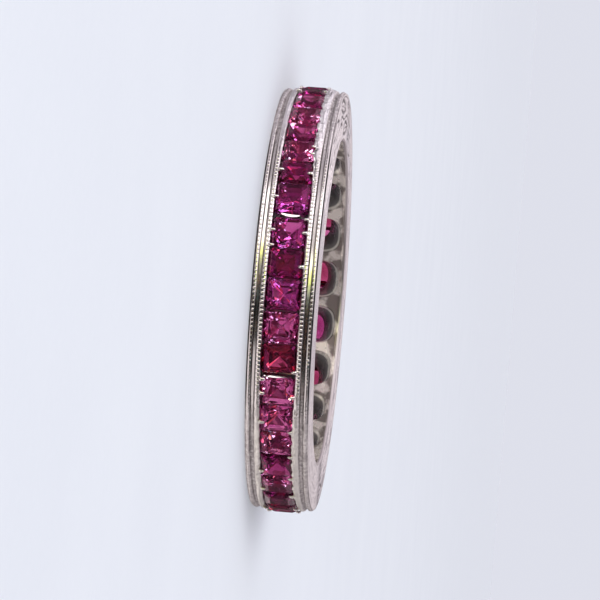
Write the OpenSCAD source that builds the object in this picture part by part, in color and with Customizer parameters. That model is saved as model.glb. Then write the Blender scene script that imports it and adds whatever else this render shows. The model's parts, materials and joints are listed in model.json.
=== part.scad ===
// Eternity ring: a white metal band, channel set with square step-cut stones all the way round.
// The ring lies on its side. Its axis is +Z through the origin, and its lower side face rests on z = 0.
// Angles round the ring are counted from the -Y side towards +X, and r is the distance from the axis.

/* [Band] */
// Inner diameter, where the finger goes
bore_d = 17; // [15.5:0.1:19]
// Width of the band along its axis
band_w = 3.15; // [3.05:0.05:3.4]
// Radial thickness from the bore to the crest of the inner ribs
wall_t = 2.62; // [2.5:0.02:2.8]
// How far the rails fall from the inner ribs to the edge of the side faces
rail_fall = 0.18; // [0.14:0.01:0.22]
// Bevel where the bore meets a side face
bore_bevel = 0.12; // [0.08:0.01:0.14]

/* [Ribs] */
// Width of the rib beside the stones
inner_rib_w = 0.28; // [0.24:0.01:0.3]
// Width of the rib beside the side face
outer_rib_w = 0.19; // [0.16:0.01:0.2]
// Height of the inner rib over the groove
inner_rib_h = 0.17; // [0.14:0.01:0.18]
// Height of the outer rib over the groove
outer_rib_h = 0.12; // [0.1:0.01:0.13]

/* [Stones] */
// Number of stones round the ring
stone_count = 42; // [42:1:42]
// Width of the channel between the rails
channel_w = 1.7; // [1.6:0.02:1.72]
// Clearance between a stone and the metal
seat_gap = 0.03; // [0.02:0.005:0.04]
// Clearance between neighbouring stones at their girdles
joint_gap = 0.03; // [0.02:0.005:0.04]
// How far the tables stand over the crests of the inner ribs
table_rise = 0.07; // [0:0.01:0.1]
// Height of the crown from girdle to table
crown_h = 0.24; // [0.2:0.01:0.26]
// Thickness of the girdle
girdle_h = 0.06; // [0.04:0.01:0.08]
// Depth of the pavilion from girdle to culet
pavilion_h = 0.77; // [0.7:0.01:0.8]
// Corner cut on the outline of a stone
corner_cut = 0.1; // [0.06:0.01:0.14]
// Thickness of the two dividers that show between stones
divider_t = 0.16; // [0.12:0.01:0.18]

/* [Windows] */
// Number of windows pierced through the inner wall, one for two stones
window_count = 21; // [21:1:21]
// Width of a window round the ring at the bore
window_w = 2.12; // [1.9:0.02:2.14]
// Height of a window along the axis at the bore
window_h = 2.6; // [2.4:0.02:2.62]
// Width of a window round the ring under the stones
throat_w = 1.5; // [1.2:0.05:1.7]
// Height of a window along the axis under the stones
throat_h = 1.12; // [1:0.02:1.16]
// How far the belt with the windows lies behind the two lips of the bore
belt_step = 0.05; // [0.04:0.01:0.08]

/* [Hidden] */
$fn = 96;

bore_r = bore_d / 2;
half_w = band_w / 2;
crest_r = bore_r + wall_t;

// The belt with the windows, and how much wider it is than they are on each side
belt_r = bore_r + belt_step;
belt_margin = 0.03;
lip_w = (band_w - window_h) / 2 - belt_margin;

// The rail, outwards from the channel wall to the side face
channel_half = channel_w / 2;
groove_r = crest_r - inner_rib_h;
outer_crest_r = groove_r + outer_rib_h;
shoulder_r = crest_r - rail_fall;
edge_bevel = 0.06;

// A rib's foot stands a little over the groove, whose floor starts a little away from it
foot_rise = 0.03;
foot_run = 0.02;
rib_steps = 6;

// The stone's levels, as distances from the ring's axis
crown_mid_height = 0.58 * crown_h;
pavilion_mid_depth = 0.49 * pavilion_h;
table_r = crest_r + table_rise;
girdle_top_r = table_r - crown_h;
crown_mid_r = girdle_top_r + crown_mid_height;
girdle_low_r = girdle_top_r - girdle_h;
pavilion_mid_r = girdle_low_r - pavilion_mid_depth;
culet_r = girdle_low_r - pavilion_h;

// The stone's outline at those levels, as shares of its girdle
table_share = 0.56;
crown_share = 0.85;
pavilion_share = 0.61;
pavilion_cut = 0.7 * corner_cut;
culet_half = 0.04;
culet_cut = 0.02;
stone_half = channel_half - seat_gap;

// The bearing runs parallel to the stone's upper pavilion, and ends in the lower channel's wall
culet_gap = 0.14;
floor_r = culet_r - culet_gap;
lower_half = 0.73 * channel_half;
pavilion_drop = (girdle_low_r - pavilion_mid_r) / (stone_half * (1 - pavilion_share));
seat_offset = seat_gap * sqrt(1 + pavilion_drop * pavilion_drop);
function seat_r(u) = girdle_low_r - pavilion_drop * (stone_half - u) - seat_offset;

// Arcs in degrees of the stones that the picture shows, from its top to its bottom; the rest are equal
seen_arcs = [9.1, 8.8, 7.4, 7.5, 7.3, 9.5, 8.7, 7.8, 8.2, 8.5, 8.4, 8.4, 8.3, 8.1, 9.3, 9, 9.9];
first_joint = -71.1;
seen_count = len(seen_arcs);
function sum_to(list, n) = n <= 0 ? 0 : list[n - 1] + sum_to(list, n - 1);
other_arc = (360 - sum_to(seen_arcs, seen_count)) / (stone_count - seen_count);
function arc_of(i) = i <= seen_count ? seen_arcs[i - 1] : other_arc;
function start_of(i) = first_joint + sum_to(seen_arcs, min(i - 1, seen_count))
    + max(0, i - 1 - seen_count) * other_arc;

// A divider stands before each of these stones, a little lower than the rails and let into them
divided = [7, 12];
divider_drop = 0.08;
divider_root = 0.1;
function has_divider(i) = len(search(i, divided)) > 0;
function end_gap(i) = has_divider(i) ? divider_t / 2 + joint_gap : joint_gap / 2;

function stone_name(i) = str("stone_", i < 10 ? "0" : "", i);

// A solid through loops of points with the same count, the first loop innermost
module loft(loops) {
    n = len(loops[0]);
    last = len(loops) - 1;
    sides = [
        for (k = [0:last - 1], j = [0:n - 1])
            let (a = k * n + j, b = k * n + (j + 1) % n)
            each [[a, b + n, b], [a, a + n, b + n]]
    ];
    low = [for (j = [1:n - 2]) [0, j, j + 1]];
    top = [for (j = [1:n - 2]) [last * n, last * n + j + 1, last * n + j]];
    polyhedron([for (loop = loops) each loop], concat(low, sides, top));
}

// Turns a shape built along +X, mid-plane at z = 0, to its angle on the ring
module on_ring(angle) {
    translate([0, 0, half_w]) rotate([0, 0, angle - 90]) children();
}

// Points of a rounded rib in the section, from u = start to u = end
function rib(start, end, top_r) = [
    for (k = [0:rib_steps])
        let (
            t = k / rib_steps * 180,
            foot_r = groove_r + foot_rise,
            u = (start + end) / 2 + (start - end) / 2 * cos(t)
        )
        [foot_r + (top_r - foot_r) * sin(t), u]
];

// The upper half of the band's section as [r, u], with u counted from the mid-plane
outer_rib_start = half_w - edge_bevel;
outer_rib_end = outer_rib_start - outer_rib_w;
inner_rib_start = channel_half + inner_rib_w;
half_section = concat(
    [[belt_r, 0], [belt_r, half_w - lip_w], [bore_r, half_w - lip_w]],
    [[bore_r, half_w - bore_bevel], [bore_r + bore_bevel, half_w], [shoulder_r, half_w]],
    rib(outer_rib_start, outer_rib_end, outer_crest_r),
    [[groove_r, outer_rib_end - foot_run], [groove_r, inner_rib_start + foot_run]],
    rib(inner_rib_start, channel_half, crest_r),
    [[seat_r(channel_half), channel_half], [seat_r(lower_half), lower_half]],
    [[floor_r, lower_half], [floor_r, 0]]
);
section = concat(
    half_section,
    [for (k = [len(half_section) - 2:-1:1]) [half_section[k][0], -half_section[k][1]]]
);

module band_body() {
    translate([0, 0, half_w]) rotate_extrude() polygon(section);
}

// Outline of a window at x, with half width a, half height b and corners that are rounder for a
// lower squareness
window_points = 24;
mouth_squareness = 3.2;
throat_squareness = 2.8;
function window_loop(x, a, b, squareness) = [
    for (k = [0:window_points - 1])
        let (t = (k + 0.5) * 360 / window_points, c = cos(t), s = sin(t))
        [
            x,
            a * sign(c) * pow(abs(c), 2 / squareness),
            b * sign(s) * pow(abs(s), 2 / squareness)
        ]
];

// A flared window, carried past the bore and the channel floor at the same slope
module window_cutter() {
    past = 0.25;
    depth = floor_r - bore_r;
    more_w = past * (window_w - throat_w) / depth;
    more_h = past * (window_h - throat_h) / depth;
    mouth = [(window_w + more_w) / 2, (window_h + more_h) / 2];
    throat = [(throat_w - more_w) / 2, (throat_h - more_h) / 2];
    loft([
        window_loop(bore_r - past, mouth[0], mouth[1], mouth_squareness),
        window_loop(floor_r + past, throat[0], throat[1], throat_squareness)
    ]);
}

module windows() {
    for (k = [0:window_count - 1]) on_ring(k * 360 / window_count) window_cutter();
}

// A thin wall across the channel
module divider() {
    low_r = floor_r - divider_root;
    high_r = crest_r - divider_drop;
    across = channel_w + 2 * divider_root;
    translate([low_r, -divider_t / 2, -across / 2]) cube([high_r - low_r, divider_t, across]);
}

module band() {
    color("gainsboro") difference() {
        union() {
            band_body();
            for (i = divided) on_ring(start_of(i)) divider();
        }
        windows();
    }
}

// A stone's outline at one level: a rectangle about middle y with its corners cut
function stone_loop(x, middle, a, b, cut) = [
    [x, middle + a, b - cut], [x, middle + a - cut, b],
    [x, middle - a + cut, b], [x, middle - a, b - cut],
    [x, middle - a, cut - b], [x, middle - a + cut, -b],
    [x, middle + a - cut, -b], [x, middle + a, cut - b]
];

// A stone cut to fill its arc, with a flat table, two crown steps, a girdle and two pavilion steps
module stone(i) {
    arc = arc_of(i);
    reach = girdle_low_r * tan(arc / 2);
    low_end = end_gap(i) - reach;
    high_end = reach - end_gap(i + 1);
    middle = (low_end + high_end) / 2;
    a = (high_end - low_end) / 2;
    b = stone_half;
    function level(x, share, cut) = stone_loop(x, middle, a * share, b * share, cut);
    color("crimson") on_ring(start_of(i) + arc / 2) loft([
        stone_loop(culet_r, middle, culet_half, culet_half, culet_cut),
        level(pavilion_mid_r, pavilion_share, pavilion_cut),
        level(girdle_low_r, 1, corner_cut),
        level(girdle_top_r, 1, corner_cut),
        level(crown_mid_r, crown_share, corner_cut),
        level(table_r, table_share, corner_cut)
    ]);
}

band();
for (i = [1:stone_count])
    stone(i);
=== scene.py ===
# %% [markdown]
# # An eternity ring, dressed on its frame
# The ring is a band of platinum with a channel all the way round it. Forty-two square rubies sit in the
# channel between two rails. Each rail has two ribs of tiny beads, the side faces carry a worn leaf
# engraving, and the inner wall is pierced with one window for every two stones.
#
# The frame already holds the stones and a plain band at their real size. This script adds what a
# jeweller does last: the fine section of the rails, the beads, the claws, the engraving and the polish.
# It also adds what years on a finger leave: pressed ribs, satin patches and grime.

import json
import math
import random
from types import SimpleNamespace

import bpy
import numpy as np
from mathutils import Matrix, Vector

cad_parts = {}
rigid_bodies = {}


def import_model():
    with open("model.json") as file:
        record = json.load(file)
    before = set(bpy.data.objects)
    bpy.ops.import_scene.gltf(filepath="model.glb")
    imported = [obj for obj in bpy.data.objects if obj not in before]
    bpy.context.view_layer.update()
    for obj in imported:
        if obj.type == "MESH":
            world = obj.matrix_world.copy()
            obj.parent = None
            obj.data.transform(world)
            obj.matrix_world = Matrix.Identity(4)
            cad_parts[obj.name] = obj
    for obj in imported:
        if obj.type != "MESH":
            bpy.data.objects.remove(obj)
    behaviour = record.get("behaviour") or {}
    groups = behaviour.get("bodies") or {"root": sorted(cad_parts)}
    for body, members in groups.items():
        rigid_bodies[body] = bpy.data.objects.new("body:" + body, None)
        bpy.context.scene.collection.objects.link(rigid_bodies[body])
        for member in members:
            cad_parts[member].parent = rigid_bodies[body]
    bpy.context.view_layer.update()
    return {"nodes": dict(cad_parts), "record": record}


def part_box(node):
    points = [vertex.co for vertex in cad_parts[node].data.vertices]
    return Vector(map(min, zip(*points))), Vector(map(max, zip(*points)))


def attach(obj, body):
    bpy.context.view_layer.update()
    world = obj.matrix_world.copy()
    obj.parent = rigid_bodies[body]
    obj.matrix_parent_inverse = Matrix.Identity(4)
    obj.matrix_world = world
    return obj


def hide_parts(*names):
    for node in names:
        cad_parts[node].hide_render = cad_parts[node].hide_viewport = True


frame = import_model()
stone_names = sorted(name for name in frame["nodes"] if name.startswith("stone_"))
print("solids:", len(frame["nodes"]), "stones:", len(stone_names))

# %% [markdown]
# Sizes come from the frame wherever it states them: the bore from the ring's mount, the band's width and
# crest from its box, and the channel from the width of a stone. The rest are small jeweller's sizes. All
# of them are in millimetres, and MM turns them into Blender's metres when a mesh is made.

# %% Sizes in millimetres
MM = 0.001
bore_mount = next(m for m in frame["record"]["mounts"] if m["name"] == "finger_bore")
band_low, band_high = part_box("band")
stone_low, stone_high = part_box("stone_10")
bore_r = bore_mount["dims"]["r_mm"]
band_w = (band_high.z - band_low.z) / MM
crest_r = band_high.x / MM
stone_w = (stone_high.z - stone_low.z) / MM
half_w = band_w / 2
seat_gap = 0.03
channel_half = stone_w / 2 + seat_gap
print(f"bore {bore_r:.2f}, crest {crest_r:.2f}, width {band_w:.2f}, channel {2 * channel_half:.2f} mm")

# %% [markdown]
# A stone is not placed here, but the beads and claws have to know where each one lies. The vertices of a
# stone's solid give the angle at which it starts and ends, counted from -Y towards +X.

# %% Where each stone lies
def angle_of(x, y):
    """The angle round the ring of a point, in degrees from -Y towards +X."""
    return math.degrees(math.atan2(x, -y))


def span_of(name):
    """The first and last angle of a stone."""
    vertices = frame["nodes"][name].data.vertices
    low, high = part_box(name)
    middle = angle_of(low.x + high.x, low.y + high.y)
    turned = [(angle_of(v.co.x, v.co.y) - middle + 180) % 360 - 180 for v in vertices]
    return middle + min(turned), middle + max(turned)


spans = [span_of(name) for name in stone_names]
print("first stone from", round(spans[0][0], 1), "to", round(spans[0][1], 1), "degrees")

# %% [markdown]
# ## A small language for node trees
# Both the shaders and the geometry trees are node trees, and both are easier to read as expressions. A
# Value stands for one socket, and Python's operators on it add Math nodes. A Graph adds any other node
# with one call: its settings first, and then the values or links of its sockets.

# %% Value and Graph
class Value:
    """A socket, on which Python's operators add Math nodes."""

    def __init__(self, graph, socket):
        self.graph = graph
        self.socket = socket

    def maths(self, operation, first, second=0.0):
        """The Math node behind every operator."""
        settings = {"operation": operation}
        return self.graph.add("ShaderNodeMath", settings, {0: first, 1: second})

    def __add__(self, other):
        return self.maths("ADD", self, other)

    def __sub__(self, other):
        return self.maths("SUBTRACT", self, other)

    def __mul__(self, other):
        return self.maths("MULTIPLY", self, other)

    def __truediv__(self, other):
        return self.maths("DIVIDE", self, other)

    def __pow__(self, other):
        return self.maths("POWER", self, other)

    def __radd__(self, other):
        return self.maths("ADD", other, self)

    def __rsub__(self, other):
        return self.maths("SUBTRACT", other, self)

    def __rmul__(self, other):
        return self.maths("MULTIPLY", other, self)

    def __rtruediv__(self, other):
        return self.maths("DIVIDE", other, self)

    def __abs__(self):
        return self.maths("ABSOLUTE", self)


def pick(sockets, name):
    """The socket with that number, or the first one in use with that name."""
    if isinstance(name, int):
        return sockets[name]
    return next(s for s in sockets if s.enabled and name in (s.name, s.identifier))


class Graph:
    """A node tree that is filled one node at a time."""

    def __init__(self, tree):
        self.tree = tree
        tree.nodes.clear()

    def add(self, kind, settings=None, sockets=None, output=0):
        """Adds a node, with its settings first, and returns one of its outputs as a Value."""
        node = self.tree.nodes.new(kind)
        for name, setting in (settings or {}).items():
            if name == "stops":
                self.set_stops(node.color_ramp, setting)
            else:
                setattr(node, name, setting)
        for name, value in (sockets or {}).items():
            for each in value if isinstance(value, list) else [value]:
                self.feed(pick(node.inputs, name), each)
        return Value(self, pick(node.outputs, output)) if node.outputs else None

    def feed(self, socket, value):
        """Links a Value to a socket, or sets the socket's own value."""
        if isinstance(value, Value):
            self.tree.links.new(value.socket, socket)
        else:
            socket.default_value = value

    def set_stops(self, ramp, stops):
        """Gives a colour ramp its stops, each a place from 0 to 1 and a colour."""
        while len(ramp.elements) < len(stops):
            ramp.elements.new(1.0)
        for element, (place, colour) in zip(ramp.elements, stops):
            element.position = place
            element.color = colour

    def split(self, vector):
        """The three numbers of a vector."""
        return [self.add("ShaderNodeSeparateXYZ", {}, {0: vector}, axis) for axis in "XYZ"]

    def vector(self, operation, first, second, output="Vector"):
        """Maths on two vectors."""
        return self.add("ShaderNodeVectorMath", {"operation": operation}, {0: first, 1: second}, output)

    def turn(self, x, y):
        """The angle round the ring's axis, in radians from -Y towards +X."""
        return self.add("ShaderNodeMath", {"operation": "ARCTAN2"}, {0: x, 1: 0 - y})

    def rotation(self, turn, flip=0.0):
        """A rotation about X by flip and then about Z by turn, in radians."""
        angles = self.add("ShaderNodeCombineXYZ", {}, {"X": flip, "Z": turn})
        return self.add("FunctionNodeEulerToRotation", {}, {0: angles})

    def step(self, value, low, high):
        """A smooth step that is 0 at low and 1 at high."""
        sockets = {"Value": value, "From Min": low, "From Max": high}
        return self.add("ShaderNodeMapRange", {"interpolation_type": "SMOOTHSTEP"}, sockets)

    def mix(self, factor, first, second):
        """The first colour where the factor is 0, and the second where it is 1."""
        sockets = {"Factor": factor, "A": first, "B": second}
        return self.add("ShaderNodeMix", {"data_type": "RGBA"}, sockets, "Result")


# %% [markdown]
# Small meshes are written as points in millimetres. Most of them are lofts: rows of points, each row a
# closed loop, with a quad between every two neighbours. An object stays at the origin, with its place in
# its mesh, so that patterns on Object coordinates lie where the ring is.

# %% Objects and meshes
def new_object(name, data):
    """A new object in the scene."""
    thing = bpy.data.objects.new(name, data)
    bpy.context.scene.collection.objects.link(thing)
    return thing


def plain_mesh(name, points, faces):
    """A mesh from points in millimetres."""
    mesh = bpy.data.meshes.new(name)
    mesh.from_pydata([Vector(p) * MM for p in points], [], faces)
    mesh.validate()
    return mesh


def row_faces(rows, count, closed):
    """Quads between rows of count points. Closed also joins the last row to the first."""
    faces = []
    for j in range(rows if closed else rows - 1):
        for k in range(count):
            here, there = j * count, (j + 1) % rows * count
            after = (k + 1) % count
            faces.append((here + k, here + after, there + after, there + k))
    return faces


def lofted(name, loops):
    """A closed solid through loops of points, the first and the last filled with a cap."""
    n, last = len(loops[0]), len(loops) - 1
    caps = [tuple(reversed(range(n))), tuple(last * n + k for k in range(n))]
    return plain_mesh(name, [p for loop in loops for p in loop], caps + row_faces(last + 1, n, False))


def count_triangles(piece):
    """How many triangles a piece's faces make."""
    return sum(len(face.vertices) - 2 for face in piece.data.polygons)


# %% [markdown]
# A geometry tree gets named inputs for its sizes. The modifier that runs it is fed by the sockets'
# identifiers, because two sockets may share a name. Every tree ends alike: its copies are made real, and
# the finish is set. The evaluated result is then copied into a plain mesh, and the carrier goes, so that a
# finished piece has no modifier left.

# %% Geometry trees
def open_tree(name, inputs):
    """A new geometry tree with those inputs, and the Values that they give inside it."""
    tree = bpy.data.node_groups.new(name, "GeometryNodeTree")
    tree.interface.new_socket("Geometry", in_out="INPUT", socket_type="NodeSocketGeometry")
    for label, kind in inputs.items():
        tree.interface.new_socket(label, in_out="INPUT", socket_type="NodeSocket" + kind)
    tree.interface.new_socket("Geometry", in_out="OUTPUT", socket_type="NodeSocketGeometry")
    graph = Graph(tree)
    given = {label: graph.add("NodeGroupInput", output=label) for label in ["Geometry", *inputs]}
    return graph, given


def original(graph, thing):
    """The geometry of another object, as its own mesh has it."""
    settings = {"transform_space": "ORIGINAL"}
    return graph.add("GeometryNodeObjectInfo", settings, {"Object": thing}, "Geometry")


def copies_on(graph, points, thing, rotation, scale=(1.0, 1.0, 1.0)):
    """A copy of a thing on each point."""
    sockets = {"Points": points, "Instance": thing, "Rotation": rotation, "Scale": scale}
    return graph.add("GeometryNodeInstanceOnPoints", {}, sockets)


def close_tree(graph, geometry, finish, smooth=True):
    """Ends a tree: copies made real, shading, finish and output."""
    geometry = graph.add("GeometryNodeRealizeInstances", {}, {0: geometry})
    if smooth:
        geometry = graph.add("GeometryNodeSetShadeSmooth", {}, {"Geometry": geometry})
    geometry = graph.add("GeometryNodeSetMaterial", {}, {"Geometry": geometry, "Material": finish})
    graph.add("NodeGroupOutput", {}, {"Geometry": geometry})
    return graph.tree


def run_tree(name, tree, values, mesh):
    """Runs a tree on a mesh and returns the result as a plain object."""
    carrier = new_object(name + "_carrier", mesh)
    modifier = carrier.modifiers.new(name, "NODES")
    modifier.node_group = tree
    for item in tree.interface.items_tree:
        if item.in_out == "INPUT" and item.name in values:
            modifier[item.identifier] = values[item.name]
    evaluated = carrier.evaluated_get(bpy.context.evaluated_depsgraph_get())
    piece = new_object(name, bpy.data.meshes.new_from_object(evaluated))
    bpy.data.objects.remove(carrier)
    return piece


# %% [markdown]
# ## The rails in numbers
# Outwards from the stones, a rail has a wide inner rib, a groove, a narrow outer rib and the edge of the
# side face. The u of a place is its distance from the mid-plane, and its r the distance from the axis. Two
# stretches of the ring have rubbed against other rings. Each is given by its middle and its reach, in
# degrees round the ring.

# %% Sizes of the rails
inner_rib_w = 0.28
outer_rib_w = 0.19
groove_r = crest_r - 0.17
outer_crest_r = groove_r + 0.12
shoulder_r = crest_r - 0.18
edge_bevel = 0.06
bore_bevel = 0.12
rib_start = channel_half + inner_rib_w
outer_start = half_w - edge_bevel
outer_end = outer_start - outer_rib_w
face_in, face_out = bore_r + bore_bevel, shoulder_r
worn_stretches = [(-72, 35), (62, 40)]
print(f"inner rib to u {rib_start:.2f}, outer rib from {outer_end:.2f} to {outer_start:.2f} mm")

# %% [markdown]
# ## Tools for the finishes
# A finish reads Object coordinates, which stay with the piece when it moves. Noise gives patches and
# scratches, a smooth step turns a size into a zone with a soft edge, and a bump gives the relief that is
# too fine for the mesh.

# %% Tools for the finishes
to_degrees = 180 / math.pi


def worn_share(graph, x, y, fade):
    """1 in the middle of each worn stretch of the ring, fading to 0 over that many degrees."""
    degrees = graph.turn(x, y) * to_degrees
    first, second = (
        graph.step(abs(degrees - middle), reach, reach - fade) for middle, reach in worn_stretches
    )
    return first + second


def finish_of(name):
    """A new material with an empty graph, and the object's own coordinates in millimetres."""
    material = bpy.data.materials.new(name)
    material.use_nodes = True
    graph = Graph(material.node_tree)
    metres = graph.add("ShaderNodeTexCoord", output="Object")
    scaled = {"operation": "SCALE"}
    return material, graph, graph.add("ShaderNodeVectorMath", scaled, {0: metres, "Scale": 1 / MM})


def noise(graph, place, scale, detail=2.0):
    """Soft noise around 0.5, finer for a higher scale."""
    sockets = {"Vector": place, "Scale": scale, "Detail": detail}
    return graph.add("ShaderNodeTexNoise", {}, sockets, "Fac")


def line_at(graph, place, middle, reach):
    """1 on a line, and 0 from that reach on."""
    return graph.step(abs(place - middle), reach, 0.3 * reach)


def bump(graph, height, strength, distance):
    """The tilt that a fine relief gives the surface."""
    sockets = {"Height": height, "Strength": strength, "Distance": distance}
    return graph.add("ShaderNodeBump", {}, sockets)


def close_finish(graph, surface, filling=None):
    """Ends a material: a surface with those sockets, and what fills the solid behind it."""
    shader = graph.add("ShaderNodeBsdfPrincipled", {}, surface)
    graph.add("ShaderNodeOutputMaterial", {}, {"Surface": shader, **(filling or {})})


# %% [markdown]
# ## The finish of the platinum
# An old platinum ring is bright, but not a mirror: years of wear leave fine scratches that run round the
# band, and soft patches where the polish has gone. The worn stretches are satin: their skin is pitted and
# chalky with pale and dark grains, and only the crests of the ribs are rubbed bright, partly as a painted
# highlight, with a painted reflection that is cooler on the -X side. Grime stays in the grooves, at the
# feet of the ribs and in the engraved cuts, and the crease beside the outer rib is a near-black line. The
# inner wall was never polished. Its skin is mottled, the mouths of its windows carry a painted highlight,
# and the lip of the bore is dull and carries painted shade.
#
# Each of these could be a material of its own. They are zones of one material instead, because on metal
# they run into each other. A zone is a share from 0 to 1 that fades between two sizes.

# %% Zones of the metal
worn_fade = 18


def metal_zones(graph, place, mottle):
    """Where each kind of surface lies."""
    x, y, z = graph.split(place)
    radius = (x * x + y * y) ** 0.5
    side = abs(z - half_w)
    satin = worn_share(graph, x, y, worn_fade)
    low = graph.step(radius, groove_r - 0.1, groove_r - 0.05)
    low = low * graph.step(radius, groove_r + 0.11, groove_r + 0.03)
    feet = line_at(graph, side, rib_start + 0.01, 0.05) + line_at(graph, side, outer_end - 0.01, 0.05)
    beside = line_at(graph, side, outer_start + 0.02, 0.06)
    inside = graph.step(radius, shoulder_r - 0.05, shoulder_r - 0.15)
    pierced = inside * graph.step(side, half_w - 0.09, half_w - 0.16)
    flare = pierced * graph.step(radius, bore_r + 0.09, bore_r + 0.2)
    sunk = graph.step(half_w - side, 0.008, 0.05)
    face = graph.step(radius, face_in + 0.1, face_in + 0.2) * graph.step(radius, face_out, face_out - 0.06)
    worn = satin * (1 - pierced)
    return SimpleNamespace(
        satin=satin,
        worn=worn,
        pierced=pierced,
        # The mouths of the windows, where a painted highlight goes.
        mouth_highlight=flare * graph.step(radius, bore_r + 0.7, bore_r + 0.3),
        cut=sunk * face,
        # A near-black line along the crease beside the outer rib.
        crease=low * beside * (1 - 0.9 * satin),
        grime=low * (0.25 + 0.7 * feet * graph.step(mottle, 0.3, 0.6)) * (1 - 0.65 * satin),
        chalk=worn * (1 - 0.45 * graph.step(side, half_w - 0.12, half_w - 0.04)),
        # The worn crests, which are rubbed bright and also carry a painted highlight.
        rubbed_crest_highlight=satin * graph.step(radius, crest_r - 0.1, crest_r - 0.05),
        # The -X half, where the crests get a cooler painted reflection tint.
        cool_reflection_side=graph.step(x, 2.0, -2.0),
        # The lip of the bore: rougher, and painted darker as shade that damps its bright reflection.
        lip=graph.step(radius, face_in + 0.05, face_in - 0.02) * (1 - pierced),
    )


# %% [markdown]
# The colours are painted one over another, as a row of layers: each has a share and a colour, and hides
# what is below it by that share. Scratches and mottling follow the ring, because their coordinates are a
# radius, an angle and a height, stretched so that the noise is long and thin.

# %% Platinum
noise_across, noise_along = 9, 12


def metal_colour(graph, zone, patches, grain, mottle):
    """The colour of the metal, layer by layer."""
    skin = graph.mix(graph.step(patches, 0.44, 0.56), (0.16, 0.125, 0.105, 1), (0.70, 0.62, 0.56, 1))
    # Rubbed crests are paler, partly as a painted highlight, and cooler on the -X side as a painted
    # reflection.
    rubbed = graph.mix(zone.cool_reflection_side, (0.97, 0.94, 0.90, 1), (0.97, 0.95, 1.0, 1))
    layers = {
        "pits": (0.5 * zone.worn * graph.step(mottle, 0.52, 0.38), (0.34, 0.31, 0.33, 1)),
        "dark grains": (0.45 * zone.chalk * graph.step(grain, 0.46, 0.36), (0.30, 0.27, 0.30, 1)),
        "pale grains": (0.75 * zone.chalk * graph.step(grain, 0.51, 0.60), (0.98, 0.95, 0.95, 1)),
        "inner skin": (0.9 * zone.pierced, skin),
        # The window mouths are painted pale, as a highlight of a lit rim.
        "mouths of the windows": (0.9 * zone.mouth_highlight, (0.95, 0.88, 0.80, 1)),
        "rubbed crests": (0.85 * zone.rubbed_crest_highlight, rubbed),
        # The lip of the bore is painted dark, as shade over its reflection.
        "lip of the bore": (0.6 * zone.lip, (0.30, 0.26, 0.27, 1)),
        "grime": (zone.grime, (0.10, 0.085, 0.075, 1)),
        "engraved cuts": (0.85 * zone.cut, (0.14, 0.125, 0.135, 1)),
        "crease": (zone.crease, (0.02, 0.018, 0.02, 1)),
    }
    colour = graph.mix(patches, (0.85, 0.80, 0.815, 1), (0.72, 0.67, 0.685, 1))
    for share, layer in layers.values():
        colour = graph.mix(share, colour, layer)
    return colour


def make_platinum():
    """The material of the band, its beads and its claws."""
    material, graph, place = finish_of("platinum_worn")
    x, y, z = graph.split(place)
    radius = (x * x + y * y) ** 0.5
    stretched = {0: radius * noise_across, 1: graph.turn(x, y) * noise_along, 2: z * noise_across}
    around = graph.add("ShaderNodeCombineXYZ", {}, stretched)
    scratches = noise(graph, around, 1.0, 3.0)
    mottle = noise(graph, around, 0.55, 4.0)
    patches = noise(graph, place, 1.1, 3.0)
    grain = noise(graph, place, 6.0, 3.0)
    zone = metal_zones(graph, place, mottle)
    roughness = 0.08 + 0.12 * graph.step(patches, 0.4, 0.8) + 0.07 * scratches + 0.15 * zone.grime
    roughness = roughness + 0.28 * zone.worn + 0.1 * zone.pierced + 0.3 * zone.lip
    height = 0.3 * scratches + (0.2 + 9.0 * zone.satin) * grain + (0.3 + 16.0 * zone.satin) * mottle
    surface = {
        "Base Color": metal_colour(graph, zone, patches, grain, mottle),
        "Metallic": 1 - 0.55 * zone.pierced,
        "Roughness": roughness,
        "Normal": bump(graph, height, 0.5, 0.02 * MM),
    }
    close_finish(graph, surface)
    return material


platinum = make_platinum()
print("material:", platinum.name, "with", len(platinum.node_tree.nodes), "nodes")

# %% [markdown]
# ## The band
# A goldsmith turns the band on a lathe and then pierces it with a saw. The mesh is made in the same order:
# the section is turned round the axis, and a geometry tree saws the windows out of it.
#
# The section is half of a symmetric outline, so only the part from the mid-plane to the side face is
# written, and the other half is its mirror image. Round stretches are arcs of a few points.

# %% Round stretches of an outline
def arc(start, end, steps, bulge):
    """Points on a half ellipse over the line from start to end, which stands out by bulge."""
    (r0, u0), (r1, u1) = start, end
    turns = [math.pi * k / steps for k in range(steps + 1)]
    shares = [(1 - math.cos(t)) / 2 for t in turns]
    return [
        (r0 + (r1 - r0) * s + bulge * math.sin(t), u0 + (u1 - u0) * s) for s, t in zip(shares, turns)
    ]


def corner(before, tip, after, steps=3):
    """A rounded corner: a curve that leaves before and reaches after, drawn towards tip."""
    points = []
    for k in range(steps + 1):
        t = k / steps
        points.append(
            tuple(
                (1 - t) ** 2 * a + 2 * t * (1 - t) * b + t * t * c
                for a, b, c in zip(before, tip, after)
            )
        )
    return points


# %% [markdown]
# The ribs end a little below the crests, because the beads stand on them. The side face has a point
# every 0.07 mm, so that the engraving can be pressed into it later. A point just below the inner rib's
# foot stays in the channel's wall where the rib leans over the stones, and the leaning rib thus has a
# flat underside over their girdles.

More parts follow.
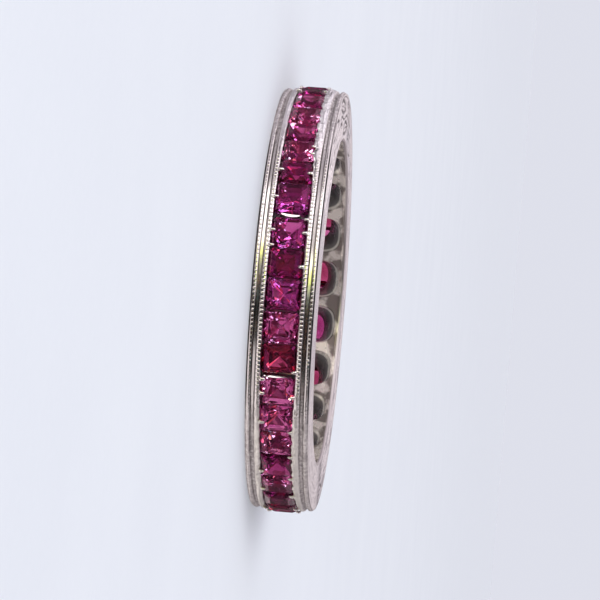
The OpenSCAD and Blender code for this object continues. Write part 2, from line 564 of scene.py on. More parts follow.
# %% The section of the band
belt_r = bore_r + 0.05
lip_w = 0.245
soft = 0.03
foot_r = groove_r + 0.03
groove_fall, groove_run = 0.03, 0.02
bead_rise = 0.032
underside = 0.002
face_rows = 34
seat_high_r, seat_low_r = crest_r - 0.241, crest_r - 0.512
lower_half = 0.73 * channel_half
floor_r = crest_r - 1.14
face_line = [
    (face_in + (face_out - face_in) * k / face_rows, half_w) for k in range(1, face_rows)
]
half_section = [
    (belt_r, 0),
    (belt_r, half_w - lip_w - soft),
    *corner((belt_r, half_w - lip_w), (bore_r, half_w - lip_w), (bore_r, half_w - lip_w + soft)),
    *corner((bore_r, half_w - bore_bevel - soft), (bore_r, half_w), (face_in, half_w), 5),
    *face_line,
    *corner((face_out, half_w), (foot_r, half_w), (foot_r, outer_start)),
    *arc((foot_r, outer_start), (foot_r, outer_end), 8, outer_crest_r - foot_r - bead_rise)[1:],
    (groove_r - groove_fall, outer_end - groove_run),
    (groove_r, rib_start + groove_run),
    *arc((foot_r, rib_start), (foot_r, channel_half), 8, crest_r - foot_r - bead_rise),
    (foot_r - underside, channel_half),
    (seat_high_r, channel_half),
    (seat_low_r, lower_half),
    (floor_r, lower_half),
    (floor_r, 0),
]
section = half_section + [(r, -u) for r, u in reversed(half_section[1:-1])]
print("points in the section:", len(section))

# %% [markdown]
# The side faces carry the engraver's leaves, worn soft. Each leaf is a long almond whose outline is cut
# with a graver, and a stem runs in waves between the leaves. Bump alone would vanish at the flat angle at
# which a ring is mostly seen, so the cuts are pressed into the mesh itself as its points are placed. They
# are still crisp on one stretch of the ring and rubbed almost smooth on another.

# %% The worn leaf engraving
leaf_count = 16
leaf_long, leaf_wide, leaf_out, leaf_slant = 3.0, 0.62, 0.56, 0.16
outline_wide, vein_wide, stem_wide, border_wide = 0.15, 0.08, 0.1, 0.07
stem_wave, border_inset = 0.16, 0.12
cut_depth = 0.11
smooth_stretch, fresh_stretch = (40, 62), (-65, 40)


def groove(distance, width):
    """The depth share of a cut, from 1 at its middle to 0 at its edge."""
    return np.clip(1 - np.abs(distance) / width, 0, 1) ** 1.5


def leaf(along, across, middle, slant):
    """The cut outline and the middle vein of one leaf, in millimetres along and across the face."""
    a = (along - middle[0]) * math.cos(slant) + (across - middle[1]) * math.sin(slant)
    b = (across - middle[1]) * math.cos(slant) - (along - middle[0]) * math.sin(slant)
    share = np.clip(1 - (2 * a / leaf_long) ** 2, 0, 1)
    inside = np.where(np.abs(a) < leaf_long / 2 + 0.05, 1.0, 0.0)
    outline = groove(np.abs(b) - leaf_wide / 2 * share, outline_wide) * inside
    vein = groove(b, vein_wide) * np.where(share > 0.25, 1.0, 0.0) * 0.6
    return np.maximum(outline, vein)


def near(angle, middle, reach, soft_edge=8):
    """1 within a stretch of the ring, given in degrees, and 0 outside it."""
    degrees = (np.degrees(angle) - middle + 180) % 360 - 180
    return np.clip((reach + soft_edge - np.abs(degrees)) / (2 * soft_edge), 0, 1)


def engraving(radius, angle):
    """The depth in millimetres of the cuts on a side face."""
    face_mid = (face_in + face_out) / 2
    pitch = 2 * math.pi * face_mid / leaf_count
    along = np.mod(angle / (2 * math.pi) * leaf_count, 1.0) * pitch - pitch / 2
    across = radius - face_mid
    leaves = [(-0.1, leaf_out, leaf_slant), (0.46 * pitch, -leaf_out, -leaf_slant)]
    cuts = groove(across - stem_wave * np.sin(2 * math.pi * along / pitch), stem_wide)
    for shift in (-pitch, 0, pitch):
        for start, out, slant in leaves:
            cuts = np.maximum(cuts, leaf(along, across, (shift + start, out), slant))
    border = groove(radius - (face_out - border_inset), border_wide) * 0.6
    left = 0.6 + 0.4 * near(angle, *fresh_stretch)
    left = left * (1 - 0.85 * near(angle, *smooth_stretch))
    return cut_depth * left * np.maximum(cuts, border)


# %% [markdown]
# The turned body is a grid of points: each point of the section, at each of 630 angles. That count is a
# multiple of the 21 windows, so every window is cut alike.
#
# Where the rails are worn, a later setter has pushed the inner ribs over the edges of the stones to keep
# them in. There the rib's points lean towards the stones and ride up on their crowns. The punch left a
# scalloped edge, which is made of three waves of different lengths.

# %% Turn the section round the axis
turn_steps = 630
tiny = 1e-6
pressed_stretches = {1: [(-62, 26, 0.15), (48, 20, 0.09)], -1: [(-62, 26, 0.03), (48, 20, 0.05)]}
scallops = [(0.14, 61, 0), (0.14, 97, 1), (0.16, 157, 2)]
crown_foot_r, crown_slope = crest_r - 0.137, 1.13
highest_lean_r = crest_r + 0.02


def pressed(angle, side):
    """How far the inner rib of a rail leans over the stones, in millimetres."""
    lean = sum(near(angle, middle, reach) * depth for middle, reach, depth in pressed_stretches[side])
    return lean * (1 + sum(share * np.sin(count * angle + shift) for share, count, shift in scallops))


def turned_body():
    """The section at every angle, with its side faces engraved and its inner ribs pressed over."""
    radius, across = (np.tile(column, (turn_steps, 1)) for column in zip(*section))
    angle = np.arange(turn_steps)[:, None] * 2 * math.pi / turn_steps
    angle = angle.repeat(len(section), 1)
    on_face = (np.abs(across) > half_w - tiny) & (radius > face_in) & (radius < face_out)
    depth = np.where(on_face, engraving(radius, angle), 0.0)
    across = across - np.sign(across) * depth
    lean = np.where(across > 0, pressed(angle, 1), pressed(angle, -1))
    share = np.clip((rib_start - np.abs(across)) / inner_rib_w, 0, 1)
    share = np.where((radius >= foot_r - tiny) & (np.abs(across) < rib_start + tiny), share, 0.0)
    crown_r = np.clip(crown_foot_r + crown_slope * (lean - seat_gap), foot_r, highest_lean_r)
    across = across - np.sign(across) * share * lean
    radius = radius + share**2 * (crown_r - foot_r)
    x, y = radius * np.sin(angle), -radius * np.cos(angle)
    points = np.stack([x, y, across + half_w], -1).reshape(-1, 3)
    return plain_mesh("turned_body", points, row_faces(turn_steps, len(section), True))


body_mesh = turned_body()
print("turned body:", len(body_mesh.polygons), "faces")

# %% [markdown]
# A window is a flared hole: wide and tall at the bore, narrow and nearly round under the stones. Its sides
# curve like a trumpet's, because the flare is ground with a burr, and that curve catches the light at the
# mouth and stays dark in the throat. The saw that cuts it is a solid through rounded outlines. Its levels
# go from 0 at the bore to 1 at the channel's floor, and it stands out a little at both ends.

# %% The window's saw
window_w, window_h = 2.12, 2.60
throat_w, throat_h = 1.50, 1.12
saw_levels = [-0.17, 0.03, 0.1, 0.2, 0.35, 0.6, 1.0, 1.17]
trumpet = 1.5
loop_points = 36


def window_loop(r, half_along, half_across, squareness):
    """A rounded rectangle at a distance r from the axis, on the -Y side of the ring."""
    points = []
    for k in range(loop_points):
        t = 2 * math.pi * (k + 0.5) / loop_points
        c, s = math.cos(t), math.sin(t)
        along = half_along * math.copysign(abs(c) ** (2 / squareness), c)
        across = half_across * math.copysign(abs(s) ** (2 / squareness), s)
        points.append((along, -r, half_w + across))
    return points


def window_saw():
    """The solid that saws one window."""
    loops = []
    for level in saw_levels:
        flare = max(1 - level, 0) ** trumpet
        along = (throat_w + (window_w - throat_w) * flare) / 2
        across = (throat_h + (window_h - throat_h) * flare) / 2
        squareness = 2.3 + 0.7 * flare
        loops.append(window_loop(bore_r + level * (floor_r - bore_r), along, across, squareness))
    return lofted("window_saw", loops)


saw = new_object("window_saw", window_saw())
print("saw:", len(saw.data.polygons), "faces")

# %% [markdown]
# Two dividers show as bright bars between stones. They are thin walls across the channel whose tops were
# filed by hand. Both bow a little. The first is short and narrow on top, and the second is longer, wider
# and slopes. A level of such a wall has its distance from the axis, its thickness and its length as
# shares of the wall's, and 1 where it was filed.

# %% The dividers
divider_half, divider_root, divider_drop = 0.08, 0.1, 0.03
widest_behind = 1.3
lopsided = 0.14
ridges = {6: (0.5, 0.0, 0.72, 0.05), 11: (0.74, 0.84, 1.34, 0.02)}


def divider_wall(ridge, slope, wide, bow):
    """A wall on the -Y side, with its top's length and width as shares, its slope, and its bow."""
    low, high = floor_r - divider_root, crest_r - divider_drop
    reach = channel_half + divider_root
    shares = [-1, -0.7, -0.35, 0, 0.35, 0.7, 1]
    corners = [(1, u) for u in shares] + [(-1, u) for u in reversed(shares)]
    levels = [(low, 1, 1, 0), (high - 0.5, 1, 1, 0), (high - 0.38, 1, ridge + 0.15, 0)]
    levels += [(high - 0.14, 1.05, ridge, 1), (high - 0.03, wide, ridge, 1), (high, wide, ridge - 0.04, 1)]
    loops = []
    for r, thickness, length, filed in levels:
        points = []
        for a, u in corners:
            half = divider_half * (thickness if a > 0 else min(thickness, widest_behind))
            along = a * half * (1 - 0.5 * filed * u * u) - filed * bow * u * u
            drop = filed * ((1 - a) * half * slope + lopsided * (1 + u) * reach * length)
            points.append((along, drop - r, half_w + u * reach * length))
        loops.append(points)
    return lofted("divider_wall", loops)


def joint_after(number):
    """The angle of the joint between a stone and the next."""
    end, start = spans[number - 1][1], spans[number % len(spans)][0]
    return end + ((start - end + 180) % 360 - 180) / 2


def dividers():
    """The walls as one mesh, each turned to its joint."""
    points, faces = [], []
    for number, ridge in ridges.items():
        wall = divider_wall(*ridge)
        wall.transform(Matrix.Rotation(math.radians(joint_after(number)), 4, "Z"))
        faces += [tuple(k + len(points) for k in face.vertices) for face in wall.polygons]
        points += [v.co / MM for v in wall.vertices]
    return plain_mesh("dividers", points, faces)


walls = new_object("dividers", dividers())
print("dividers:", len(ridges))

# %% [markdown]
# The tree below adds the dividers and saws the windows. Object Info brings in the saw, Instance on Points
# sets one copy at each angle about the ring's axis, and Realize Instances turns the copies into real
# solids for the Boolean.

# %% Saw the windows
def window_tree():
    """The turned body, with the dividers added and the windows sawn out."""
    inputs = {"Saw": "Object", "Walls": "Object", "Windows": "Int", "Finish": "Material"}
    graph, given = open_tree("pierced_band", inputs)
    turn = graph.add("GeometryNodeInputIndex") * (2 * math.pi / given["Windows"])
    places = graph.add("GeometryNodePoints", {}, {"Count": given["Windows"]})
    saws = copies_on(graph, places, original(graph, given["Saw"]), graph.rotation(turn))
    saws = graph.add("GeometryNodeRealizeInstances", {}, {0: saws})
    added = {"operation": "UNION", "solver": "MANIFOLD"}
    parts = [given["Geometry"], original(graph, given["Walls"])]
    body = graph.add("GeometryNodeMeshBoolean", added, {"Mesh 2": parts})
    pierced = {"operation": "DIFFERENCE", "solver": "MANIFOLD"}
    body = graph.add("GeometryNodeMeshBoolean", pierced, {"Mesh 1": body, "Mesh 2": saws})
    return close_tree(graph, body, given["Finish"])


band_inputs = {"Saw": saw, "Walls": walls, "Windows": 21, "Finish": platinum}
band = run_tree("platinum_band", window_tree(), band_inputs, body_mesh)
band.data.set_sharp_from_angle(angle=math.radians(38))
for thing in (saw, walls):
    bpy.data.objects.remove(thing)
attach(band, "root")
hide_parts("band")
print("platinum band:", count_triangles(band), "triangles")

# %% [markdown]
# ## The millgrain
# Millgrain is a row of tiny beads that a knurled wheel rolls along a thin rib. Each rail has two rows: wide
# beads beside the stones and narrow ones beside the side face. A bead is a coarse sphere, because there
# are more than 1,300 of them, and each one is turned out a little larger or smaller than the next. In the
# worn stretches the beads are rubbed flat, over a shorter fade than the satin's.
#
# One row is a node group of its own, and the main tree uses it four times.

# %% One row of beads
bead_fade = 8
rubbed_height = 0.26
smallest, largest = (0.82, 0.80, 0.78), (1.06, 1.08, 1.08)


def bead_row_group():
    """A row of beads round the ring, at a height over the floor."""
    kinds = {"Count": "Int", "Radius": "Float", "Height": "Float", "Size": "Vector", "Seed": "Int"}
    graph, given = open_tree("bead_row", kinds)
    sockets = {"Vertices": given["Count"], "Radius": given["Radius"]}
    circle = graph.add("GeometryNodeMeshCircle", {}, sockets)
    lift = graph.add("ShaderNodeCombineXYZ", {}, {"Z": given["Height"]})
    circle = graph.add("GeometryNodeTransform", {}, {"Geometry": circle, "Translation": lift})
    turn = graph.add("GeometryNodeInputIndex") * (2 * math.pi / given["Count"])
    spread = {"Min": smallest, "Max": largest, "Seed": given["Seed"]}
    change = graph.add("FunctionNodeRandomValue", {"data_type": "FLOAT_VECTOR"}, spread, "Value")
    x, y, _ = graph.split(graph.add("GeometryNodeInputPosition"))
    left = 1 - (1 - rubbed_height) * worn_share(graph, x, y, bead_fade)
    flatten = graph.add("ShaderNodeCombineXYZ", {}, {"X": left, "Y": 1.0, "Z": 1.0})
    size = graph.vector("MULTIPLY", graph.vector("MULTIPLY", given["Size"], change), flatten)
    beads = copies_on(graph, circle, given["Geometry"], graph.rotation(turn), size)
    graph.add("NodeGroupOutput", {}, {"Geometry": beads})
    return graph.tree


bead_row = bead_row_group()
print("row group:", len(bead_row.nodes), "nodes")

# %% [markdown]
# The main tree makes one ball and hands it to the four rows, which are two kinds on two sides. Each row
# has its own seed. The balls sink into their rib up to the height that shows, and the outer rows are set a
# little lower, because they are worn more.

# %% Four rows of beads
def millgrain_tree():
    """The four rows of beads."""
    kinds = {"Count": "Int", "Mid-plane": "Float", "Finish": "Material"}
    for name in ("Inner", "Outer"):
        kinds |= {name + " radius": "Float", name + " offset": "Float", name + " bead": "Vector"}
    graph, given = open_tree("millgrain", kinds)
    ball = graph.add("GeometryNodeMeshUVSphere", {}, {"Segments": 8, "Rings": 5, "Radius": 1.0})
    rows = []
    for number, (name, side) in enumerate([("Inner", 1), ("Inner", -1), ("Outer", 1), ("Outer", -1)]):
        sockets = {
            "Geometry": ball,
            "Count": given["Count"],
            "Radius": given[name + " radius"],
            "Height": given["Mid-plane"] + side * given[name + " offset"],
            "Size": given[name + " bead"],
            "Seed": number,
        }
        rows.append(graph.add("GeometryNodeGroup", {"node_tree": bead_row}, sockets))
    beads = graph.add("GeometryNodeJoinGeometry", {}, {"Geometry": rows})
    return close_tree(graph, beads, given["Finish"])


bead_height, bead_long = 0.075, 0.086
inner_bead_w, outer_bead_w = 0.125, 0.088
outer_sink = 0.009
bead_inputs = {
    "Count": 328,
    "Inner radius": (crest_r - bead_height) * MM,
    "Inner offset": (channel_half + inner_rib_w / 2) * MM,
    "Inner bead": Vector((bead_height, bead_long, inner_bead_w)) * MM,
    "Outer radius": (outer_crest_r - bead_height - outer_sink) * MM,
    "Outer offset": (outer_start + outer_end) / 2 * MM,
    "Outer bead": Vector((bead_height, bead_long, outer_bead_w)) * MM,
    "Mid-plane": half_w * MM,
    "Finish": platinum,
}
millgrain = run_tree("millgrain", millgrain_tree(), bead_inputs, bpy.data.meshes.new("nothing"))
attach(millgrain, "root")
print("millgrain:", count_triangles(millgrain), "triangles")

# %% [markdown]
# ## The claws
# Where a rail is pressed over a stone, the setter raises a short curl of metal with a graver. Most stones
# have one at the middle of each side, and some have one at a corner. The list gives those that show, as a
# stone's number and a share of its length; the rest sit near the middle of each side.

# %% Where the claws sit
seen_claws = {
    1: [4.35, 4.7, 5.6, 7.05, 7.5, 8.6, 11.9, 12.65, 13.95, 15.0, 16.0, 17.1],
    -1: [5.5, 6.5, 7.45, 7.95, 12.05, 12.55, 13.6, 15.7, 16.7],
}
seen_until = 17
claw_random = random.Random(7)


def claw_angle(place):
    """The angle of a place such as 6.5, the middle of the sixth stone."""
    start, end = spans[int(place) - 1]
    return start + (end - start) * (place - int(place))


claw_places = []
for side, places in seen_claws.items():
    hidden_stones = range(seen_until + 1, len(spans) + 1)
    hidden = [i + 0.5 + claw_random.uniform(-0.12, 0.12) for i in hidden_stones]
    for place in places + hidden:
        size = claw_random.uniform(1.1, 1.5)
        claw_places.append((claw_angle(place), side, size))
print("claws:", len(claw_places))

# %% [markdown]
# One claw is a tongue lofted along a short bent line: thick where it leaves the rail, thin where its tip
# lies on the crown. Vertices with an angle, a flip and a size tell the tree where each copy goes.

# %% One claw, and a vertex for each copy
claw_sides, claw_flat = 8, 0.8
claw_spine = [
    (-0.10, 0.00, 0.080),
    (0.00, -0.03, 0.080),
    (0.035, -0.11, 0.066),
    (0.02, -0.20, 0.052),
    (0.0, -0.245, 0.022),
]


def claw_mesh():
    """A claw of the upper rail, with +X away from the axis and its tip towards -Z."""
    turns = [2 * math.pi * k / claw_sides for k in range(claw_sides)]
    loops = [
        [(r + thick * claw_flat * math.cos(t), thick * math.sin(t), u) for t in turns]
        for r, u, thick in claw_spine
    ]
    mesh = lofted("claw", loops)
    mesh.flip_normals()
    return mesh


def marked_points(name, points, columns):
    """A mesh of loose vertices, with a number for each vertex in every named column."""
    mesh = plain_mesh(name, points, [])
    for column, numbers in columns.items():
        mesh.attributes.new(column, "FLOAT", "POINT").data.foreach_set("value", numbers)
    return mesh


def claw_points():
    """One vertex for each claw, at the crest of its rail."""
    root_r, root_u = crest_r - 0.02, channel_half + 0.09
    points = []
    for degrees, side, _ in claw_places:
        a = math.radians(degrees)
        u = root_u - float(pressed(a, side))
        points.append((root_r * math.sin(a), -root_r * math.cos(a), half_w + side * u))
    columns = {
        "turn": [math.radians(degrees - 90) for degrees, _, _ in claw_places],
        "flip": [0.0 if side > 0 else math.pi for _, side, _ in claw_places],
        "size": [size for _, _, size in claw_places],
    }
    return marked_points("claw_points", points, columns)


claw = new_object("claw", claw_mesh())
print("one claw:", count_triangles(claw), "triangles")

# %% [markdown]
# Inside the tree, Named Attribute reads those numbers back. Two angles make a rotation: the flip turns a
# claw over to the lower rail, and the turn carries it round the ring.

# %% Copy the claws
def named_number(graph, name):
    """A column of marked_points, inside a geometry tree."""
    return graph.add("GeometryNodeInputNamedAttribute", {"data_type": "FLOAT"}, {"Name": name})


def claw_tree():
    """A copy of the claw on each vertex, turned, flipped and sized by the vertex's numbers."""
    graph, given = open_tree("claws", {"Claw": "Object", "Finish": "Material"})
    turn, flip, size = (named_number(graph, name) for name in ("turn", "flip", "size"))
    places = graph.add("GeometryNodeMeshToPoints", {}, {"Mesh": given["Geometry"]})
    pattern = original(graph, given["Claw"])
    claws = copies_on(graph, places, pattern, graph.rotation(turn, flip), size)
    return close_tree(graph, claws, given["Finish"])


claws = run_tree("claws", claw_tree(), {"Claw": claw, "Finish": platinum}, claw_points())
bpy.data.objects.remove(claw)
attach(claws, "root")
print("claws:", count_triangles(claws), "triangles")

# %% [markdown]
# ## Grime in the joints
# Years of wear pack grime into the joints between the stones, and it keeps them dark where a window lies
# below. A thin plate of it stands in each joint, at the height of the girdles. The two joints with a
# divider have none. One box is copied to a vertex in each joint, which carries the angle of the copy.

# %% The grime
girdle_low_r, girdle_top_r = crest_r - 0.23, crest_r - 0.17
plate_low_r, plate_high_r = girdle_low_r - 0.03, girdle_top_r + 0.02
plate_thick = 0.022
plate_long = 2 * channel_half - 0.24


def joint_points():
    """One vertex for each joint without a divider."""
    r = (plate_low_r + plate_high_r) / 2
    joints = [i for i in range(1, len(spans) + 1) if i not in ridges]
    angles = [math.radians(joint_after(i)) for i in joints]
    points = [(r * math.sin(a), -r * math.cos(a), half_w) for a in angles]
    return marked_points("joint_points", points, {"turn": [a - math.pi / 2 for a in angles]})


def grime_tree():
    """A plate on each vertex, turned by the vertex's number."""
    graph, given = open_tree("joint_grime", {"Plate": "Vector", "Finish": "Material"})
    plate = graph.add("GeometryNodeMeshCube", {}, {"Size": given["Plate"]})
    places = graph.add("GeometryNodeMeshToPoints", {}, {"Mesh": given["Geometry"]})
    plates = copies_on(graph, places, plate, graph.rotation(named_number(graph, "turn")))
    return close_tree(graph, plates, given["Finish"], smooth=False)


def make_grime():
    """A dull dark red, uneven as dirt is."""
    material, graph, place = finish_of("joint_grime")
    colour = graph.mix(noise(graph, place, 9.0), (0.020, 0.004, 0.008, 1), (0.075, 0.012, 0.024, 1))
    close_finish(graph, {"Base Color": colour, "Roughness": 0.7})
    return material


plate_size = Vector((plate_high_r - plate_low_r, plate_thick, plate_long)) * MM
grime_inputs = {"Plate": plate_size, "Finish": make_grime()}
grime = run_tree("joint_grime", grime_tree(), grime_inputs, joint_points())
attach(grime, "root")
print("grime:", count_triangles(grime), "triangles")

# %% [markdown]
# ## The rubies
# The stones' solids are cut exactly, so they keep their meshes, with the table and the main facets. A ruby
# bends light strongly and swallows green: a path of two millimetres through the stone leaves a deep
# pinkish red. The surface gives a part of that colour by tinting what passes it, and absorption inside
# gives the rest, which is deeper where the path is longer. The surface is slightly rubbed in patches,
# and the edges beside the rails are painted darker, as shade.
#
# An old cutter also left many small uneven facets under the girdle. They are drawn in the finish: Voronoi
# cells are each given a lean of their own, and a bump turns that into a patchwork of flat mirrors.

# %% One ruby
cell_scale, cell_squash = 1.5, 0.65
facets_from, facets_full = crest_r - 0.20, crest_r - 0.26


def small_facets(graph, place, lean):
    """The bump of flat cells below the girdle, which lean by up to that slope."""
    x, y, _ = graph.split(place)
    below = graph.step((x * x + y * y) ** 0.5, facets_from, facets_full)
    squashed = graph.vector("MULTIPLY", place, (1.0, 1.0, cell_squash))
    cells = {"Vector": squashed, "Scale": cell_scale}
    random_colour = graph.add("ShaderNodeTexVoronoi", {}, cells, "Color")
    towards = graph.vector("SUBTRACT", random_colour, (0.5, 0.5, 0.5))
    middle = graph.add("ShaderNodeTexVoronoi", {}, cells, "Position")
    offset = graph.vector("SUBTRACT", squashed, middle)
    slope = graph.vector("DOT_PRODUCT", towards, offset, "Value")
    return bump(graph, lean * below * slope, 1.0, MM)


def make_ruby(name, kept, density, lean):
    """A ruby that keeps those shares of light inside, fades at that density in 1/m, and whose small facets
    lean by that slope."""
    material, graph, place = finish_of(name)
    z = graph.split(place)[2]
    rubbed = graph.step(noise(graph, place, 2.2, 3.0), 0.45, 0.8)
    # The edges beside the rails are painted darker, as shade.
    shaded_edge = graph.step(abs(z - half_w), channel_half - 0.34, channel_half - 0.08)
    tint = graph.mix(rubbed, (0.97, 0.24, 0.50, 1), (0.95, 0.18, 0.43, 1))
    surface = {
        "Base Color": graph.mix(shaded_edge, tint, (0.30, 0.02, 0.10, 1)),
        "Roughness": 0.01 + 0.06 * rubbed,
        "Normal": small_facets(graph, place, lean),
        "IOR": 1.76,
        "Transmission Weight": 0.97,
        "Specular Tint": (0.70, 0.08, 0.42, 1),
    }
    inside = graph.add("ShaderNodeVolumeAbsorption", {}, {"Color": kept, "Density": density})
    close_finish(graph, surface, {"Volume": inside})
    return material


# %% [markdown]
# Old parcels of rubies never match, so there are seven tints, from a pale pink to a dark wine red. A row
# of the table has the share of each colour that the stone keeps, its density and the lean of its small
# facets. The stones that show have the tint that was seen, and the others are dealt out at random.

# %% Rubies
ruby_tints = {
    "pale": ((0.66, 0.30, 0.62, 1), 130, 0.32),
    "light": ((0.61, 0.22, 0.57, 1), 240, 0.38),
    "pink": ((0.64, 0.19, 0.55, 1), 480, 0.4),
    "rose": ((0.63, 0.18, 0.53, 1), 1200, 0.3),
    "purple": ((0.59, 0.20, 0.60, 1), 1200, 0.5),
    "wine": ((0.63, 0.18, 0.53, 1), 2400, 0.4),
    "deep": ((0.63, 0.14, 0.28, 1), 2000, 0.3),
}
rubies = {tint: make_ruby("ruby_" + tint, *row) for tint, row in ruby_tints.items()}
seen_tints = {
    "pale": [2, 4],
    "light": [12, 14, 16],
    "pink": [10, 13],
    "purple": [6, 7, 9],
    "wine": [5, 8, 15, 17],
    "deep": [11],
}
tint_of = {number: tint for tint, numbers in seen_tints.items() for number in numbers}
tally = dict.fromkeys(rubies, 0)
tint_random = random.Random(3)
for number, name in enumerate(stone_names, 1):
    drawn = tint_random.choice(["pink", "rose", "rose", "purple", "wine", "deep"])
    tint = tint_of.get(number, "rose" if number <= seen_until else drawn)
    tally[tint] += 1
    node = frame["nodes"][name]
    node.data.materials.clear()
    node.data.materials.append(rubies[tint])
print("tints:", tally)

# %% [markdown]
# ## Camera, floor and light
# The ring rests on its side, and the camera sees it from almost edge-on: it looks down on the floor by a
# little less than five degrees, and it is rolled by a little more than a right angle, so that the ring
# stands upright in the picture. A long lens keeps the far side nearly as large as the near side.

# %% Camera
outer_r = 11.17
camera_tilt = 0.0844
camera_roll = 0.0791
camera_distance = 12 * outer_r
aim_right, aim_down = 0.0078 * outer_r, -0.0011 * outer_r
picture_px = 600
focal_px = 2542.3

camera_data = bpy.data.cameras.new("camera")
camera = new_object("camera", camera_data)
tilted = Matrix.Rotation(math.pi / 2 - camera_tilt, 3, "X")
camera_axes = tilted @ Matrix.Rotation(math.pi / 2 + camera_roll, 3, "Z")
right, up, back = camera_axes.col
centre = Vector((0, 0, half_w))
stand = centre - right * aim_right + up * aim_down + back * camera_distance
camera.matrix_world = Matrix.Translation(stand * MM) @ camera_axes.to_4x4()
camera_data.lens = camera_data.sensor_width * focal_px / picture_px
camera_data.clip_start = 0.001
bpy.context.scene.camera = camera
print("camera at", [round(c, 1) for c in stand], "mm, lens", round(camera_data.lens, 1))

# %% [markdown]
# The floor is plain and pale, with a faint cloudy grain. It doesn't show in the metal's reflections, so
# that the ring reflects the studio on all sides, as it would on a small clear stand.

# %% Floor
floor_half = 20.0


def make_floor():
    """A large square that the ring lies on."""
    mesh = bpy.data.meshes.new("floor")
    corners = [(-floor_half, -floor_half, 0), (floor_half, -floor_half, 0)]
    corners += [(floor_half, floor_half, 0), (-floor_half, floor_half, 0)]
    mesh.from_pydata(corners, [], [(0, 1, 2, 3)])
    material, graph, place = finish_of("pale_floor")
    cloud = noise(graph, place, 0.08, 4.0)
    grain = noise(graph, place, 2.5, 3.0)
    colour = graph.mix(0.7 * cloud + 0.3 * grain, (0.76, 0.78, 0.84, 1), (0.84, 0.86, 0.91, 1))
    relief = bump(graph, grain, 0.1, 0.05 * MM)
    close_finish(graph, {"Base Color": colour, "Roughness": 0.75, "Normal": relief})
    mesh.materials.append(material)
    return new_object("floor", mesh)


floor = make_floor()
floor.visible_glossy = False
print("floor at z =", max(v.co.z for v in floor.data.vertices))

# %% [markdown]
# ## The studio
# The studio is a ring of soft cards round the object, as a jeweller's light tent has: a bright card on one
# side, with a narrow yellow and a narrow green one at its end, then a dark gap in front, and a warm grey
# card on the other side. The cards are a colour ramp over the compass direction, given in degrees from
# -Y towards +X. Their edges lean, so the compass is bent a little by the rise over the horizon before it
# is looked up. A card reaches about 15 degrees up and down. The bright one hangs lower and is taller,
# most of all at its end, and the dark gap is taller too.

# %% The cards
cards = [
    (-180, (0.74, 0.66, 0.72, 1)),
    (-170, (0.82, 0.78, 0.88, 1)),
    (-158, (0.55, 0.49, 0.54, 1)),
    (-145, (0.50, 0.44, 0.49, 1)),
    (-92, (0.54, 0.49, 0.54, 1)),
    (-72, (0.60, 0.56, 0.59, 1)),
    (-54, (1.0, 0.97, 0.95, 1)),
    (-24, (1.0, 0.98, 0.90, 1)),
    (-19, (1.0, 0.93, 0.25, 1)),
    (-13, (0.52, 0.72, 0.12, 1)),
    (-8, (0.05, 0.26, 0.34, 1)),
    (-4, (0.012, 0.012, 0.02, 1)),
    (23, (0.012, 0.012, 0.015, 1)),
    (34, (0.36, 0.34, 0.33, 1)),
    (60, (0.70, 0.645, 0.64, 1)),
    (120, (0.72, 0.66, 0.67, 1)),
    (172, (0.28, 0.255, 0.28, 1)),
    (180, (0.74, 0.66, 0.72, 1)),
]


def studio_zones(graph, direction):
    """Rise and bent compass in degrees, and the shares of the bright card, the dark gap and no card."""
    x, y, z = graph.split(direction)
    compass = graph.turn(x, y) * to_degrees
    rise = graph.add("ShaderNodeMath", {"operation": "ARCSINE"}, {0: z}) * to_degrees
    low_turn = graph.step(compass, 10, 40) * graph.step(compass, 110, 70)
    bend = graph.step(compass, 12, -12) * (1.0 - 0.3 * rise) - low_turn * (12 + 0.5 * rise)
    degrees = compass + bend
    bright = graph.step(degrees, -66, -50) * graph.step(degrees, -8, -16)
    tall = graph.step(degrees, -32, -24) * bright
    dark = graph.step(degrees, -8, -2) * graph.step(degrees, 34, 24)
    off_middle = abs(rise + 9 * bright - 7 * tall)
    away = graph.step(off_middle - 8 * bright - 7 * tall - 6 * dark, 10, 20)
    return SimpleNamespace(x=x, rise=rise, degrees=degrees, bright=bright, dark=dark, away=away)


print("cards:", len(cards))

# %% [markdown]
# Above and below the cards is the tent's cloth, which is paler above the cards on the -X side and paler
# below them on the +X side. The ceiling is brightest on the bright card's side. A few teal and amber
# glints hang in the dark gap, and the beads and ribs turn them into the small coloured specks that
# polished metal shows.

# %% The tent
def tent_colour(graph, zone, direction):
    """The colour of the cards and of the cloth round them."""
    minus_x = graph.mix(graph.step(zone.rise, -20, 20), (0.62, 0.57, 0.60, 1), (1.12, 1.03, 1.08, 1))
    plus_x = graph.mix(graph.step(zone.rise, -20, 20), (1.02, 0.95, 0.93, 1), (0.62, 0.57, 0.58, 1))
    cloth = graph.mix(graph.step(zone.x, -0.2, 0.2), minus_x, plus_x)
    cloth = graph.mix(0.8 * zone.bright, cloth, (0.30, 0.26, 0.26, 1))
    warm = graph.step(noise(graph, direction, 6.0), 0.45, 0.55)
    glint = graph.mix(warm, (0.06, 0.55, 0.60, 1), (0.95, 0.50, 0.30, 1))
    specks = graph.step(noise(graph, direction, 13.0), 0.59, 0.67)
    cloth = graph.mix(zone.dark, cloth, graph.mix(specks, (0.03, 0.03, 0.03, 1), glint))
    ceiling = graph.mix(graph.step(zone.x, 0.1, -0.3), (0.70, 0.65, 0.68, 1), (1.5, 1.40, 1.44, 1))
    cloth = graph.mix(graph.step(zone.rise, 30, 50) * (1 - zone.dark), cloth, ceiling)
    stops = [((place + 180) / 360, colour) for place, colour in cards]
    share = {"Fac": (zone.degrees + 180) / 360}
    card = graph.add("ShaderNodeValToRGB", {"stops": stops}, share, "Color")
    fine_specks = graph.step(noise(graph, direction, 24.0), 0.58, 0.64)
    card = graph.mix(zone.dark * fine_specks, card, glint)
    return graph.mix(zone.away, card, cloth)


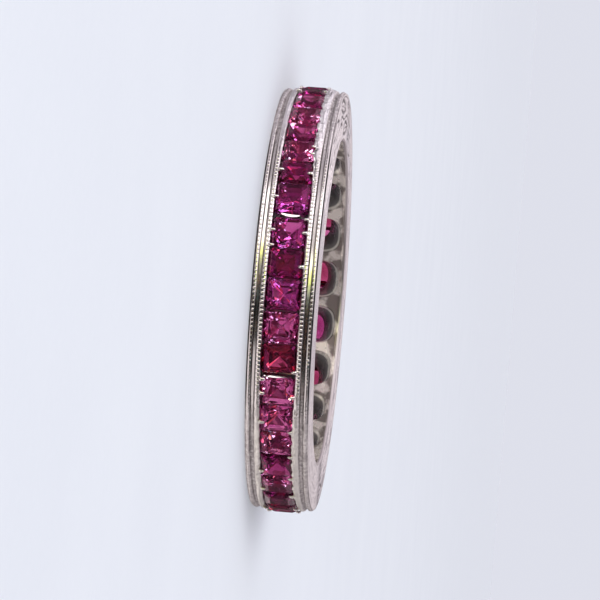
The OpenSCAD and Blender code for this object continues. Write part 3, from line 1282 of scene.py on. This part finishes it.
# %% [markdown]
# Two more things are for what shines. A dark slit lies a little below the horizon, at the height that
# the crests of the rails reflect, and keeps their edges dark. Light that comes through the stones passes
# coloured panes, a few of them very bright, which light single facets and leave the others dark. It is a
# little brighter towards both ends of the row.
#
# None of this is seen straight: the camera sees a plain backdrop, and the floor is lit by a plain sky.

# %% The world
slit_rise = -4.8
seen_plain = {"Is Diffuse Ray": (0.88, 0.90, 0.955, 1), "Is Camera Ray": (0.735, 0.748, 0.83, 1)}


def light_path(graph, output):
    """1 for rays of that kind, and 0 for others."""
    return graph.add("ShaderNodeLightPath", output=output)


def studio():
    """The world: what shiny things reflect, and plain colours for the other rays."""
    world = bpy.data.worlds.new("studio")
    bpy.context.scene.world = world
    world.use_nodes = True
    graph = Graph(world.node_tree)
    direction = graph.add("ShaderNodeTexCoord", output="Generated")
    zone = studio_zones(graph, direction)
    slit = graph.step(abs(zone.rise - slit_rise), 10, 6)
    colour = graph.mix(0.8 * slit, tent_colour(graph, zone, direction), (0.0, 0.0, 0.0, 1))
    blot = noise(graph, direction, 5.0)
    panes = graph.mix(graph.step(blot, 0.42, 0.48), (0.34, 0.18, 0.14, 1), (2.1, 1.5, 1.2, 1))
    panes = graph.mix(graph.step(blot, 0.515, 0.565), panes, (4.8, 13.5, 9.4, 1))
    through = light_path(graph, "Is Transmission Ray")
    filtered = graph.vector("MULTIPLY", colour, graph.mix(through, (1.0, 1.0, 1.0, 1), panes))
    ends = through * graph.step(abs(zone.x), 0.1, 0.5)
    strength = 1.0 + 2.2 * zone.bright * (1 - zone.away) + 0.5 * ends
    sky = graph.add("ShaderNodeBackground", {}, {"Color": filtered, "Strength": strength})
    for output, plain_colour in seen_plain.items():
        plain = graph.add("ShaderNodeBackground", {}, {"Color": plain_colour, "Strength": 1.0})
        chosen = {0: light_path(graph, output), 1: sky, 2: plain}
        sky = graph.add("ShaderNodeMixShader", {}, chosen)
    graph.add("ShaderNodeOutputWorld", {}, {"Surface": sky})
    return world


world = studio()
print("world:", world.name, "with", len(world.node_tree.nodes), "nodes")

# %% [markdown]
# One weak soft box stands high on the side of the bright card. It lifts the side face and the tables, and
# gives the ring its soft shadow on the floor.

# %% The soft box
def soft_light(name, place, size, watts):
    """A square soft box, aimed at the ring, with its place and size in millimetres."""
    light = bpy.data.lights.new(name, "AREA")
    light.size = size * MM
    light.energy = watts
    box = new_object(name, light)
    box.location = Vector(place) * MM
    box.rotation_euler = (centre - Vector(place)).to_track_quat("-Z", "Y").to_euler()
    return box


key = soft_light("key", (-290, -220, 350), 280, 0.38)
print("light:", key.name, "of", key.data.energy, "W")

# %% [markdown]
# Standard colour keeps the clear reds of the stones and the bright white of the metal, which a filmic
# curve would grey.

# %% Colour, and the end
bpy.context.scene.view_settings.view_transform = "Standard"
